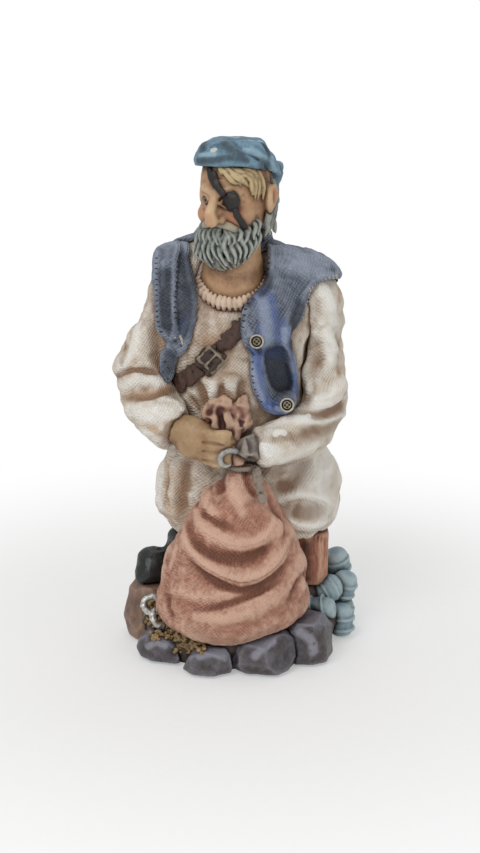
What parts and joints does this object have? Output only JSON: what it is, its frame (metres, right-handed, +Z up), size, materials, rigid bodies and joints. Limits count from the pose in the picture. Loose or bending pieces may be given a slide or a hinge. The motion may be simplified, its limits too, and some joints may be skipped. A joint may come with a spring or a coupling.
{
  "type": "pirate figurine",
  "caption": "Painted resin shelf figurine of a bearded pirate with eye patch, hook and peg leg, gripping a tied sack of loot on a rocky base.",
  "frame": {"origin": "centre of the felt underside, on the surface that the figurine stands on", "axes": "+Z up, the figure faces -Y and its left side is at +X"},
  "size_m": [0.0949, 0.0833, 0.1994],
  "materials": {
    "felt": "matt felt",
    "ground_paint": "painted cast resin, matt earth with brown wash",
    "brown_rock_paint": "painted cast resin, satin reddish brown",
    "rock_paint": "painted cast resin, satin, lavender grey tops over brown black",
    "cobble_paint": "painted cast resin, satin blue green grey",
    "rope_paint": "painted cast resin, matt grey",
    "sack_paint": "painted cast resin, matt terracotta cloth texture",
    "silver_paint": "silver paint on cast resin, slightly worn",
    "gold_paint": "gold paint on cast resin, dark wash",
    "black_paint": "satin black paint on cast resin",
    "skin_paint": "painted cast resin, satin skin",
    "eye_paint": "gloss paint",
    "buckle_paint": "dark pewter paint",
    "leather_paint": "cast resin painted as dark brown leather",
    "button_paint": "pewter and gold paint, dark wash",
    "vest_paint": "painted cast resin, matt blue grey woven cloth",
    "shirt_paint": "painted cast resin, off white knit with brown wash",
    "cap_paint": "painted cast resin, matt grey teal cloth",
    "hair_paint": "painted cast resin, grey with dark wash and pale dry brush",
    "boot_paint": "cast resin painted as black boot leather",
    "wood_paint": "cast resin painted as faceted brown wood"
  },
  "bodies": {
    "root": {"bangle_lower": "silver_paint", "bangle_upper": "silver_paint", "beard": "hair_paint", "belt_buckle": "buckle_paint", "belt_lower": "leather_paint", "belt_upper": "leather_paint", "boot": "boot_paint", "button_lower": "button_paint", "button_upper": "button_paint", "cap": "cap_paint", "cap_knot": "cap_paint", "cobble_1": "cobble_paint", "cobble_2": "cobble_paint", "cobble_3": "cobble_paint", "cobble_4": "cobble_paint", "cobble_5": "cobble_paint", "cobble_6": "cobble_paint", "cobble_7": "cobble_paint", "coin_heap": "gold_paint", "coin_spill": "gold_paint", "eye": "eye_paint", "eye_patch": "black_paint", "felt_pad": "felt", "ground": "ground_paint", "head": "skin_paint", "hook": "silver_paint", "hook_cup": "black_paint", "knit_collar": "shirt_paint", "left_sleeve": "shirt_paint", "moustache": "hair_paint", "nape_hair": "hair_paint", "patch_strap_lower": "black_paint", "patch_strap_upper": "black_paint", "peg_leg": "wood_paint", "right_hand": "skin_paint", "right_sleeve": "shirt_paint", "rock_back_left": "rock_paint", "rock_back_middle": "rock_paint", "rock_back_right": "rock_paint", "rock_front_centre": "rock_paint", "rock_front_left": "rock_paint", "rock_front_middle": "rock_paint", "rock_front_right": "rock_paint", "rock_right_back": "brown_rock_paint", "rock_right_side": "brown_rock_paint", "sack": "sack_paint", "sack_mouth": "sack_paint", "sack_tie": "rope_paint", "shirt": "shirt_paint", "tie_end": "rope_paint", "vest_back": "vest_paint", "vest_front_left": "vest_paint", "vest_front_right": "vest_paint"}
  },
  "joints": []
}
